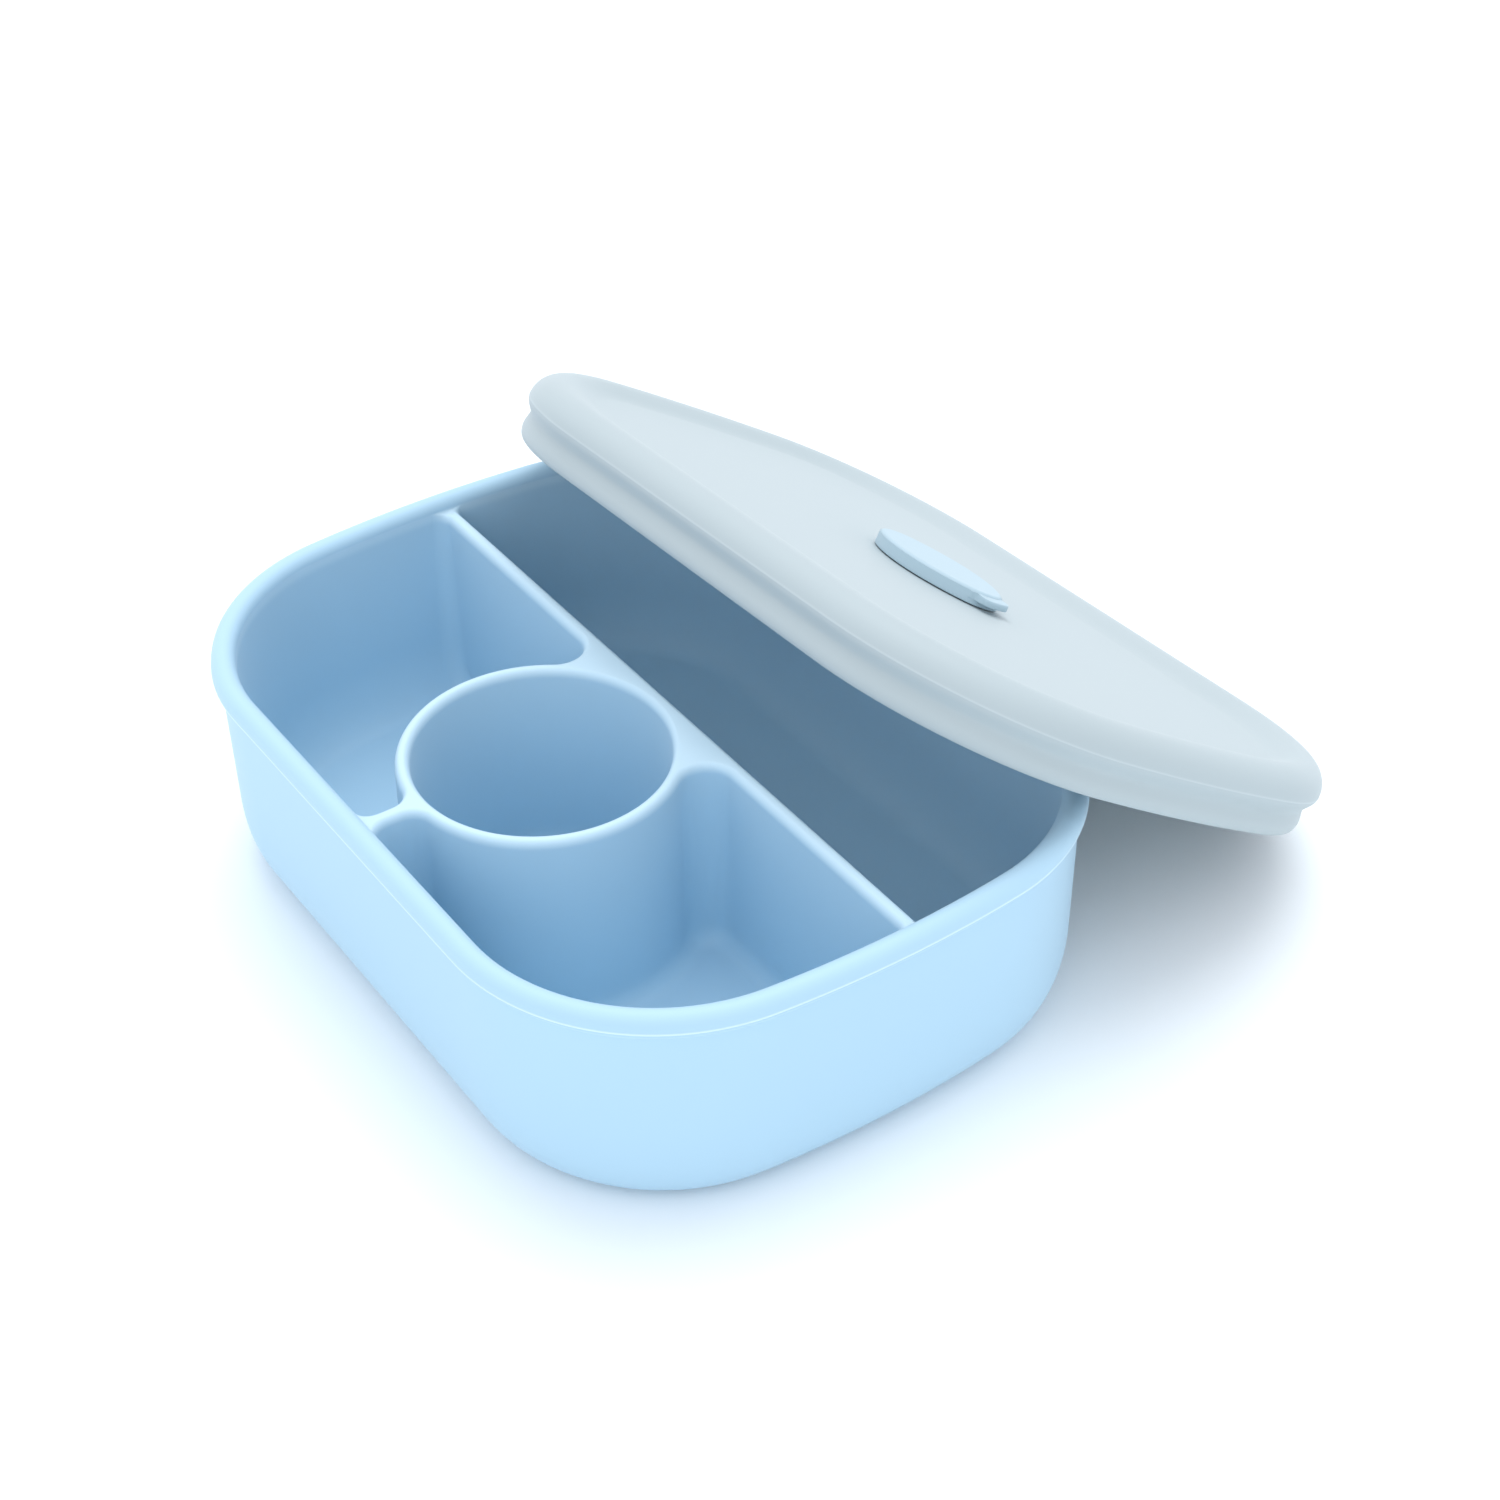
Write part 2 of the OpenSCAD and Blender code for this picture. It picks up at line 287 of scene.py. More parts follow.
class PlanPath:
    """A line on the plan, run counter-clockwise round a hollow, made of arcs joined straight."""

    def __init__(self) -> None:
        """Starts an empty line."""
        self.stations: list[Station] = []

    def arc(
        self,
        centre: tuple[float, float],
        radius: float,
        start: float,
        end: float,
        steps: int,
        bend: Bend = Bend.ROUND,
    ) -> slice:
        """Adds an arc.

        Args:
            centre: The arc's centre.
            radius: Its radius.
            start: First direction from the centre, in degrees.
            end: Last direction.
            steps: How many steps it is cut into.
            bend: How it bends.

        Returns:
            Where the arc's stations lie in the list.
        """
        first = len(self.stations)
        for i in range(steps + 1):
            point = polar(centre, radius, mix(start, end, i / steps))
            inward = (point - Vector(centre)).normalized() * bend.value
            if not self.stations or (point - self.stations[-1].point).length > SAME:
                self.stations.append(Station(point, inward))
        return slice(first, len(self.stations))

    def line_to(self, point: Vector, steps: int) -> None:
        """Adds stations on the straight run to a point, without the point itself."""
        start = self.stations[-1]
        for share in shares(steps)[:-1]:
            self.stations.append(Station(start.point.lerp(point, share), start.inward.copy()))

    def closed(self) -> list[Station]:
        """The stations, with long straight gaps between them cut into steps."""
        longest, steps = 20.0 * MM, 24
        out: list[Station] = []
        for here, after in zip(self.stations, self.stations[1:] + self.stations[:1]):
            out.append(here)
            if (after.point - here.point).length > longest:
                for share in shares(steps)[:-1]:
                    out.append(Station(here.point.lerp(after.point, share), here.inward.copy()))
        return out


def circle(centre: tuple[float, float], radius: float, steps: int) -> list[Station]:
    """Stations of a round hollow."""
    path = PlanPath()
    path.arc(centre, radius, 0.0, 360.0 - 360.0 / steps, steps - 1)
    return path.stations


def flipped(spot: Vector) -> Vector:
    """A point or a way on the other side of the box."""
    other = spot.copy()
    other.x = -spot.x
    return other


def mirrored(stations: list[Station]) -> dict[Station, Station]:
    """The same loop on the other side of the box.

    Args:
        stations: A counter-clockwise loop.

    Returns:
        The mirrored loop, counter-clockwise too: each station's twin, by the station.
    """
    return {
        s: Station(
            flipped(s.point),
            flipped(s.inward),
            flipped(s.top) if s.top else None,
            flipped(s.crest),
            s.rise,
            s.draft,
            flipped(s.by_side),
            flipped(s.by_inner),
        )
        for s in reversed(stations)
    }


# --------------------------------------------------------------------------------------
# Finishes


@dataclass(frozen=True)
class Silicone:
    """A moulded silicone finish.

    Attributes:
        name: The material's name.
        colour: Its colour, as linear red, green and blue.
        painted_highlight: Its paler colour, painted on thin tops and parting lines as a highlight.
        roughness: Roughness of the shader.
        ior: Index of refraction.
        specular: Level of what it mirrors.
        sheen: Weight of the sheen, with the sheen's own roughness.
        grain: Scale of the surface's fine grain.
        relief: Strength and depth of the grain's relief.
    """

    name: str
    colour: tuple[float, float, float]
    painted_highlight: tuple[float, float, float]
    roughness: float = 0.52
    ior: float = 1.41
    specular: float = 0.42
    sheen: tuple[float, float] = (0.12, 0.45)
    grain: float = 2600.0
    relief: tuple[float, float] = (0.12, 0.08 * MM)

    def build(self) -> bpy.types.Material:
        """Makes the node material."""
        material = bpy.data.materials.new(self.name)
        material.use_nodes = True
        nodes, links = material.node_tree.nodes, material.node_tree.links
        shader = nodes["Principled BSDF"]
        shader.inputs["IOR"].default_value = self.ior
        shader.inputs["Specular IOR Level"].default_value = self.specular
        shader.inputs["Sheen Weight"].default_value = self.sheen[0]
        shader.inputs["Sheen Roughness"].default_value = self.sheen[1]
        place = nodes.new("ShaderNodeTexCoord")
        # How much painted highlight each vertex gets, read from its layer.
        highlight_amount = nodes.new("ShaderNodeAttribute")
        highlight_amount.attribute_name = PAINTED_HIGHLIGHT
        skin = nodes.new("ShaderNodeGroup")
        skin.node_tree = moulded_skin()
        skin.inputs["Colour"].default_value = (*self.colour, 1.0)
        skin.inputs["Pale"].default_value = (*self.painted_highlight, 1.0)
        skin.inputs["Roughness"].default_value = self.roughness
        skin.inputs["Grain"].default_value = self.grain
        bump = nodes.new("ShaderNodeBump")
        bump.inputs["Strength"].default_value = self.relief[0]
        bump.inputs["Distance"].default_value = self.relief[1]
        links.new(place.outputs["Object"], skin.inputs["Place"])
        links.new(highlight_amount.outputs["Fac"], skin.inputs["Paleness"])
        links.new(skin.outputs["Colour"], shader.inputs["Base Color"])
        links.new(skin.outputs["Roughness"], shader.inputs["Roughness"])
        links.new(skin.outputs["Height"], bump.inputs["Height"])
        links.new(bump.outputs["Normal"], shader.inputs["Normal"])
        return material


def moulded_skin() -> bpy.types.NodeTree:
    """The shared group of all silicone: fine grain, faint cloudiness and a paler colour painted on as
    a highlight.
    """
    name = "moulded_skin"
    if name in bpy.data.node_groups:
        return bpy.data.node_groups[name]
    tree = bpy.data.node_groups.new(name, "ShaderNodeTree")
    face = tree.interface
    for label, kind in (
        ("Place", "NodeSocketVector"),
        ("Colour", "NodeSocketColor"),
        ("Pale", "NodeSocketColor"),
        ("Roughness", "NodeSocketFloat"),
        ("Grain", "NodeSocketFloat"),
        ("Paleness", "NodeSocketFloat"),
    ):
        face.new_socket(name=label, in_out="INPUT", socket_type=kind)
    for label, kind in (
        ("Colour", "NodeSocketColor"),
        ("Roughness", "NodeSocketFloat"),
        ("Height", "NodeSocketFloat"),
    ):
        face.new_socket(name=label, in_out="OUTPUT", socket_type=kind)
    nodes, links = tree.nodes, tree.links
    given = nodes.new("NodeGroupInput")
    out = nodes.new("NodeGroupOutput")

    grain = nodes.new("ShaderNodeTexNoise")
    grain.inputs["Detail"].default_value = 3.0
    links.new(given.outputs["Place"], grain.inputs["Vector"])
    links.new(given.outputs["Grain"], grain.inputs["Scale"])
    links.new(grain.outputs["Fac"], out.inputs["Height"])

    cloud = nodes.new("ShaderNodeTexNoise")
    cloud.inputs["Scale"].default_value = 22.0
    cloud.inputs["Detail"].default_value = 2.0
    links.new(given.outputs["Place"], cloud.inputs["Vector"])

    # Mixes in the paler colour as a painted highlight where the layer asks for it.
    blend = nodes.new("ShaderNodeMix")
    blend.data_type = "RGBA"
    links.new(given.outputs["Paleness"], blend.inputs["Factor"])
    links.new(given.outputs["Colour"], blend.inputs["A"])
    links.new(given.outputs["Pale"], blend.inputs["B"])

    shade = nodes.new("ShaderNodeMapRange")
    shade.inputs["To Min"].default_value = 0.985
    shade.inputs["To Max"].default_value = 1.015
    links.new(cloud.outputs["Fac"], shade.inputs["Value"])
    tint = nodes.new("ShaderNodeVectorMath")
    tint.operation = "SCALE"
    links.new(blend.outputs["Result"], tint.inputs[0])
    links.new(shade.outputs["Result"], tint.inputs["Scale"])
    links.new(tint.outputs["Vector"], out.inputs["Colour"])

    gloss = nodes.new("ShaderNodeMapRange")
    gloss.inputs["To Min"].default_value = -0.04
    gloss.inputs["To Max"].default_value = 0.04
    links.new(cloud.outputs["Fac"], gloss.inputs["Value"])
    total = nodes.new("ShaderNodeMath")
    total.operation = "ADD"
    links.new(given.outputs["Roughness"], total.inputs[0])
    links.new(gloss.outputs["Result"], total.inputs[1])
    links.new(total.outputs["Value"], out.inputs["Roughness"])
    return tree


# Each finish's second colour is the paler one that is painted on as a highlight.
TRAY_SILICONE = Silicone("tray_silicone", (0.435, 0.652, 0.80), (0.70, 0.88, 0.97))
LID_SILICONE = Silicone("lid_silicone", (0.435, 0.515, 0.54), (0.51, 0.59, 0.615))
PLUG_SILICONE = Silicone("plug_silicone", (0.42, 0.56, 0.635), (0.52, 0.63, 0.68))


def make_piece(
    bm: bmesh.types.BMesh, name: str, node: str, finish: Silicone
) -> bpy.types.Object:
    """Turns a finished skin into a piece that stands for a CAD node.

    Args:
        bm: The closed skin, in the part's frame.
        name: The piece's name.
        node: The CAD node that it stands for, which is also its body's name.
        finish: The finish that it gets.

    Returns:
        The new object.
    """
    bmesh.ops.remove_doubles(bm, verts=bm.verts, dist=WELD)
    bmesh.ops.recalc_face_normals(bm, faces=bm.faces)
    for face in bm.faces:
        face.smooth = True
    open_edges = sum(1 for e in bm.edges if len(e.link_faces) != 2)
    mesh = bpy.data.meshes.new(name)
    bm.to_mesh(mesh)
    bm.free()
    piece = bpy.data.objects.new(name, mesh)
    bpy.context.scene.collection.objects.link(piece)
    mesh.materials.append(finish.build())
    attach(piece, node)
    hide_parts(node)
    LOG.info("%s: %d faces, %d open edges", name, len(mesh.polygons), open_edges)
    return piece


# --------------------------------------------------------------------------------------
# Tray


class Side(Enum):
    """A side of the long divider, by its way on Y."""

    REAR = 1.0
    FRONT = -1.0


@dataclass
class Tray:
    """The one-piece tray with its long divider, round cup and short web."""

    outline: Outline
    height: float
    # The rim's bead, with the ridge of its parting line, and the step and slope under it
    rim_r: float = 2.9 * MM
    parting_drop: float = 3.6 * MM
    ridge: float = 0.15 * MM
    ridge_h: float = 0.32 * MM
    bead_step: float = 1.8 * MM
    bead_slope: float = 3.1 * MM
    # The walls' slants, the rounding at the foot and the floor
    outer_draft: float = 0.4 * MM
    side_draft: float = 0.35 * MM
    inner_share: float = 0.25
    foot_w: float = 12.5 * MM
    foot_h: float = 20.0 * MM
    foot_power: float = 2.5
    under_edge: float = 1.0 * MM
    floor_t: float = 3.0 * MM
    floor_edge: float = 0.3 * MM
    floor_fillet: float = 4.2 * MM
    # The cove between side wall and floor, and how far from a nook it eases off
    cove_w: float = 9.5 * MM
    cove_h: float = 16.0 * MM
    cove_ease: float = 32.0 * MM
    cove_turns: tuple[int, ...] = (*range(0, 75, 10), 75, 80, 84, 87, 90)
    # Divider, cup and web
    wall_drop: float = 3.5 * MM
    divider_y: float = 6.4 * MM
    divider_t: float = 3.9 * MM
    cup_r: float = 28.8 * MM
    cup_t: float = 3.4 * MM
    cup_back: float = 4.2 * MM
    web_t: float = 4.0 * MM
    edge_r: float = 1.6 * MM
    edge_rise: float = 2.4 * MM
    # Nooks at their foot and at their top, and how their top edge leaves the side wall
    nook_r: float = 5.0 * MM
    cup_nook_r: float = 6.4 * MM
    rear_nook_top: float = 1.2 * MM
    front_nook_top: float = 3.6 * MM
    heel: float = 1.0 * MM
    leaving: int = 6
    pace: float = 1.5
    # Painted highlight on the thin walls' tops, and how far it runs down their rounding
    top_highlight: float = 0.37
    top_highlight_run: float = 1.3

    @property
    def wall_top(self) -> float:
        """Height of the divider, the cup and the web."""
        return self.height - self.wall_drop

    @property
    def cup_centre(self) -> tuple[float, float]:
        """Middle of the cup on the plan."""
        return (0.0, self.divider_y + self.divider_t / 2 - self.cup_back - self.cup_r)

    @property
    def inner_bow(self) -> float:
        """Radius of the short sides' inner faces."""
        return self.outline.end_r - 2 * self.rim_r

    @property
    def inner_corner(self) -> float:
        """Radius of the corners' inner faces."""
        return self.outline.corner_r - 2 * self.rim_r

    @property
    def inner_side(self) -> float:
        """How far from the middle the long sides' inner faces lie."""
        return self.outline.width / 2 - 2 * self.rim_r

    @property
    def side_top(self) -> float:
        """Height at which the side walls' inner faces pass into the rim."""
        return self.height - self.rim_r

    def depth(self, spot: Vector) -> float:
        """How far a place on the plan lies inside the side walls' inner faces."""
        x, y = abs(spot.x), abs(spot.y)
        if x <= self.outline.corner[0]:
            return self.inner_side - y
        return self.inner_bow - math.hypot(x - self.outline.bow[0], y)

    def on_side(self, station: Station) -> None:
        """Lets a station's wall go straight up to the rim."""
        station.crest = station.point.to_3d() + UP * self.side_top
        station.rise = self.side_top - self.wall_top + self.edge_rise
        station.draft = 1.0

    def on_wall(self, station: Station) -> None:
        """Lets a station's rounding end on the flat of an inner wall's top."""
        spot = station.point - station.inward * self.edge_r
        station.crest = Vector((spot.x, spot.y, self.wall_top))
        station.rise = self.edge_rise

    def side_nook(
        self, face: float, radius: float, side: Side
    ) -> tuple[tuple[float, float], float]:
        """A nook between the left side wall and a face of the divider.

        Args:
            face: The face's place on Y.
            radius: The nook's radius.
            side: The side of the divider that it is on.

        Returns:
            Its centre, and the bearing at which it touches the side wall.
        """
        y = face + side.value * radius
        bow = self.outline.bow[0]
        centre = (-bow - math.sqrt((self.inner_bow - radius) ** 2 - y**2), y)
        return centre, bearing((-bow, 0.0), centre) % 360.0

    def sharpen(
        self,
        nook: list[Station],
        centre: tuple[float, float],
        radius: float,
        bearings: tuple[float, float],
    ) -> None:
        """Gives a nook a smaller radius at its top.

        Args:
            nook: The nook's stations.
            centre: The smaller nook's centre.
            radius: The smaller nook's radius.
            bearings: Its first and last bearing, in degrees.
        """
        for i, station in enumerate(nook):
            station.top = polar(centre, radius, mix(*bearings, i / (len(nook) - 1)))

    def to_side(self, station: Station, foot: Vector) -> float:
        """How far behind a nook's foot, against its inward way, the side wall's face lies."""
        out = self.outline.outward(foot)
        reach, tries = 0.0, 6
        for _ in range(tries):
            reach += self.depth(foot - station.inward * reach) / -station.inward.dot(out)
        return reach

    def on_nook(self, nook: list[Station]) -> None:
        """Lets a nook's top edge leave the side wall and settle on the top of an inner wall.

        Args:
            nook: The stations of its arc, from the side wall to the inner wall.
        """
        last = len(nook) - 1
        for i, station in enumerate(nook):
            foot = station.top or station.point
            if i <= self.leaving:
                reach = start = self.to_side(station, foot)
            else:
                left = self.pace * (i - self.leaving) / (last - self.leaving)
                reach = mix(start, self.edge_r, smooth(left))
            spot = foot - station.inward * reach
            near = max(0.0, 1.0 - max(0.0, self.depth(spot)) / self.heel)
            height = mix(self.wall_top, self.side_top, near**2)
            station.crest = spot.to_3d() + UP * height
            station.rise = height - self.wall_top + self.edge_rise
            station.draft = 1.0 - smooth(i / last)

    def rear_stations(self) -> tuple[list[Station], list[list[Station]]]:
        """Plan line of the rear compartment, and its nooks on the left and on the right."""
        o, r, top = self.outline, self.nook_r, self.rear_nook_top
        face = self.divider_y + self.divider_t / 2
        centre, side = self.side_nook(face, r, Side.REAR)
        path = PlanPath()
        left = path.arc(centre, r, side, 270.0, 16)
        path.line_to(Vector((-centre[0], face)), 60)
        right = path.arc((-centre[0], centre[1]), r, 270.0, 540.0 - side, 16)
        sharp, turn = self.side_nook(face, top, Side.REAR)
        self.sharpen(path.stations[left], sharp, top, (turn, 270.0))
        self.sharpen(path.stations[right], (-sharp[0], sharp[1]), top, (270.0, 540.0 - turn))
        path.arc(o.bow, self.inner_bow, 180.0 - side, o.bow_angle, 6)
        path.arc(o.corner, self.inner_corner, o.bow_angle, 90.0, 30)
        path.arc((-o.corner[0], o.corner[1]), self.inner_corner, 90.0, 180.0 - o.bow_angle, 30)
        path.arc((-o.bow[0], 0.0), self.inner_bow, 180.0 - o.bow_angle, side, 6)
        nooks = [path.stations[left], path.stations[right][::-1]]
        stations = path.closed()
        self.settle(stations, path.stations[left.stop : right.start], nooks, [])
        return stations, nooks

    def settle(
        self,
        stations: list[Station],
        inner: list[Station],
        nooks: list[list[Station]],
        tight: list[Station],
    ) -> None:
        """Gives every station of a compartment the top and the foot of its wall.

        Args:
            stations: The compartment's plan line.
            inner: Its stations along the inner walls.
            nooks: Its nooks at the divider, each from the side wall to the inner wall.
            tight: Its nook at the web, where the coves have little room, or nothing.
        """
        for station in stations:
            self.on_side(station)
            station.by_side = station.inward.copy()
        for station in inner:
            station.draft = 0.0
            self.on_wall(station)
            station.by_side, station.by_inner = Vector((0.0, 0.0)), station.inward.copy()
        for nook in nooks:
            self.on_nook(nook)
            side, face = nook[0].inward.copy(), nook[-1].inward.copy()
            for station in stations:
                if station in nook:
                    station.by_side, station.by_inner = side, face
                elif station in inner:
                    station.by_side = station.by_side + side * self.nearness(station, nook[-1])
                else:
                    station.by_inner = station.by_inner + face * self.nearness(station, nook[0])
        if tight:
            self.on_nook(tight)
            room = self.floor_fillet / self.cove_w
            for station in stations:
                if station not in tight and station not in inner:
                    share = mix(1.0, room, self.nearness(station, tight[0]))
                    station.by_side = station.by_side * share
            for i, station in enumerate(tight):
                share = i / (len(tight) - 1)
                station.by_side = station.inward * room * (1.0 - share)
                station.by_inner = station.inward * share

    def nearness(self, station: Station, end: Station) -> float:
        """How near a station is to the end of a nook, from 1 there down to 0."""
        return 1.0 - smooth((station.point - end.point).length / self.cove_ease)

    def left_stations(self) -> tuple[list[Station], list[list[Station]]]:
        """Plan line of the left compartment, and its nooks by the divider and by the web."""
        o, r, cup = self.outline, self.nook_r, self.cup_centre
        front = -self.inner_side
        web = -self.web_t / 2
        face = self.divider_y - self.divider_t / 2
        cup_out = self.cup_r + self.cup_t
        by_web = (web - r, cup[1] - math.sqrt((cup_out + r) ** 2 - (web - r) ** 2))
        wide, top = self.cup_nook_r, self.front_nook_top
        by_face = (-math.sqrt((cup_out + wide) ** 2 - (face - wide - cup[1]) ** 2), face - wide)
        by_side, side = self.side_nook(face, r, Side.FRONT)

        path = PlanPath()
        path.arc((-o.corner[0], -o.corner[1]), self.inner_corner, 180.0 + o.bow_angle, 270.0, 30)
        path.line_to(Vector((web - r, front)), 16)
        foot = path.arc((web - r, front + r), r, 270.0, 360.0, 16)
        path.line_to(Vector((web, by_web[1])), 4)
        path.arc(by_web, r, 0.0, bearing(by_web, cup), 12)
        path.arc(cup, cup_out, bearing(cup, by_web) % 360.0, bearing(cup, by_face), 60, Bend.INTO)
        path.arc(by_face, wide, bearing(by_face, cup), 90.0, 18)
        path.line_to(Vector((by_side[0], face)), 26)
        left = path.arc(by_side, r, 90.0, side, 16)
        sharp, turn = self.side_nook(face, top, Side.FRONT)
        self.sharpen(path.stations[left], sharp, top, (90.0, turn))
        path.arc((-o.bow[0], 0.0), self.inner_bow, side, 180.0 + o.bow_angle, 8)
        nooks = [path.stations[left][::-1], path.stations[foot]]
        stations = path.closed()
        self.settle(stations, path.stations[foot.stop : left.start], nooks[:1], nooks[1])
        return stations, nooks

    def cup_stations(self) -> list[Station]:
        """Plan line of the cup."""
        stations = circle(self.cup_centre, self.cup_r, 120)
        for station in stations:
            self.on_wall(station)
            station.by_inner = station.inward.copy()
        return stations

    def hollow(
        self, bm: bmesh.types.BMesh, stations: list[Station]
    ) -> dict[Station, bmesh.types.BMVert]:
        """Draws one hollow: its rounded top edge, upright wall, cove and floor.

        Args:
            bm: The tray's mesh.
            stations: The hollow's plan line.

        Returns:
            The vertices of its top edge, by station.
        """
        skin = Skin.from_loop(bm, stations, lambda s: s.crest.copy())
        # The thin walls' tops get a painted highlight, fading down their rounding.
        self.paint_top_highlight(skin, 1.0)
        for turn in turns(90.0, 0.0, 8)[1:]:
            skin.extrude(lambda s, turn=turn: self.rounded(s, turn))
            self.paint_top_highlight(skin, smooth(self.top_highlight_run * math.sin(turn)))
        for turn in self.cove_turns:
            height = self.cove_h * (1.0 - math.sin(math.radians(turn)))
            skin.extrude(lambda s, height=height: self.floor_round(s, height))
        skin.extrude(lambda s: self.floor_round(s, 0.0) + s.inward.to_3d() * self.floor_edge)
        skin.close()
        return skin.first

    def paint_top_highlight(self, skin: Skin, share: float) -> None:
        """Gives a share of the thin tops' painted highlight to the newest ring, but not at the rim.
        """
        layer = skin.bm.verts.layers.float[PAINTED_HIGHLIGHT]
        for vert, station in skin.anchors.items():
            if station.crest.z < self.side_top:
                vert[layer] = self.top_highlight * share

    def rounded(self, station: Station, turn: float) -> Vector:
        """A point of the rounding over a wall, from its crest at 90 degrees down to 0."""
        foot = station.top or station.point
        spot = foot.lerp(station.crest.to_2d(), 1 - math.cos(turn))
        height = station.crest.z - station.rise * (1 - math.sin(turn))
        return Vector((spot.x, spot.y, height))

    def floor_round(self, station: Station, height: float) -> Vector:
        """A point of the cove between a wall and the floor, at a height over the floor."""
        drawn = self.side_draft * mix(self.inner_share, 1.0, station.draft)
        spot = station.point + station.inward * drawn
        spot = spot + station.by_side * cove(height, self.cove_w, self.cove_h)
        spot = spot + station.by_inner * cove(height, self.floor_fillet, self.floor_fillet)
        return Vector((spot.x, spot.y, self.floor_t + height))

    def rim_section(self) -> list[Ring]:
        """Section of the rim, from the side wall's inner face up to the crest."""
        return [
            Ring(self.rim_r * (1 + math.cos(a)), self.side_top + self.rim_r * math.sin(a))
            for a in turns(10.0, 90.0, 8)
        ]

    def outer_section(self) -> list[Ring]:
        """Section of the outside, from the rim's crest over the parting line to the underside."""
        bead = self.rim_r - self.ridge
        section = [
            Ring(self.rim_r - bead * math.sin(a), self.side_top + self.rim_r * math.cos(a))
            for a in turns(10.0, 90.0, 8)
        ]
        parting = self.height - self.parting_drop
        under = Ring(self.ridge * 1.4, parting - self.ridge_h)
        # The parting line's rings get a painted highlight, palest on the ridge.
        section += [
            Ring(self.ridge, parting + 0.36 * MM),
            Ring(self.ridge * 0.4, parting + 0.2 * MM, painted_highlight=0.5),
            Ring(0.0, parting, painted_highlight=0.8),
            Ring(self.ridge * 0.4, parting - 0.18 * MM, painted_highlight=0.7),
            under,
        ]
        slope = parting - self.bead_slope
        for share in shares(8):
            inset = mix(under.across, self.bead_step, smooth(share))
            section.append(Ring(inset, mix(under.height, slope, share)))
        foot = self.bead_step + self.outer_draft
        for share in shares(4)[:-1]:
            section.append(Ring(mix(self.bead_step, foot, share), mix(slope, self.foot_h, share)))
        power = 2 / self.foot_power
        for turn in turns(0.0, 90.0, 18):
            inset = foot + self.foot_w * (1 - math.cos(turn) ** power)
            section.append(Ring(inset, self.foot_h * (1 - math.sin(turn) ** power)))
        section.append(Ring(foot + self.foot_w + self.under_edge, 0.0))
        return section

    def build(self) -> bpy.types.Object:
        """Makes the tray."""
        bm = blank()
        rear, rear_nooks = self.rear_stations()
        left, left_nooks = self.left_stations()
        twins = mirrored(left)
        right_nooks = [[twins[s] for s in nook] for nook in left_nooks]
        verts = {}
        for stations in (rear, left, list(twins.values()), self.cup_stations()):
            verts |= self.hollow(bm, stations)
        for nook, other in (
            (rear_nooks[0], left_nooks[0]),
            (rear_nooks[1], right_nooks[0]),
            (left_nooks[1], right_nooks[1]),
        ):
            for i in range(self.leaving, len(nook) - 1):
                corners = (nook[i], nook[i + 1], other[i + 1], other[i])
                bm.faces.new([verts[s] for s in corners])
        open_edges = [e for e in bm.edges if len(e.link_faces) == 1]
        above = self.wall_top + SAME
        tops = [e for e in open_edges if max(v.co.z for v in e.verts) < above]
        bmesh.ops.triangle_fill(bm, use_beauty=True, edges=tops)
        rim = [e for e in open_edges if min(v.co.z for v in e.verts) > above]
        anchors = {}
        for edge in rim:
            for vert in edge.verts:
                spot = vert.co.to_2d()
                out = self.outline.outward(spot)
                anchors[vert] = Station(spot + out * 2 * self.rim_r, -out)
        skin = Skin(bm, anchors, rim)
        skin.draw(self.rim_section() + self.outer_section(), laid)
        skin.close()
        return make_piece(bm, "silicone_tray", "tray", TRAY_SILICONE)


# --------------------------------------------------------------------------------------
# Lid


@dataclass(frozen=True)
class Pose:
    """Where a body lies: its place and its three turns in degrees, about X, Y and then Z."""

    place: tuple[float, float, float]
    turns: tuple[float, float, float]

    @property
    def matrix(self) -> Matrix:
        """The pose as a matrix."""
        turns = [math.radians(t) for t in self.turns]
        return Matrix.Translation(Vector(self.place)) @ Euler(turns, "XYZ").to_matrix().to_4x4()


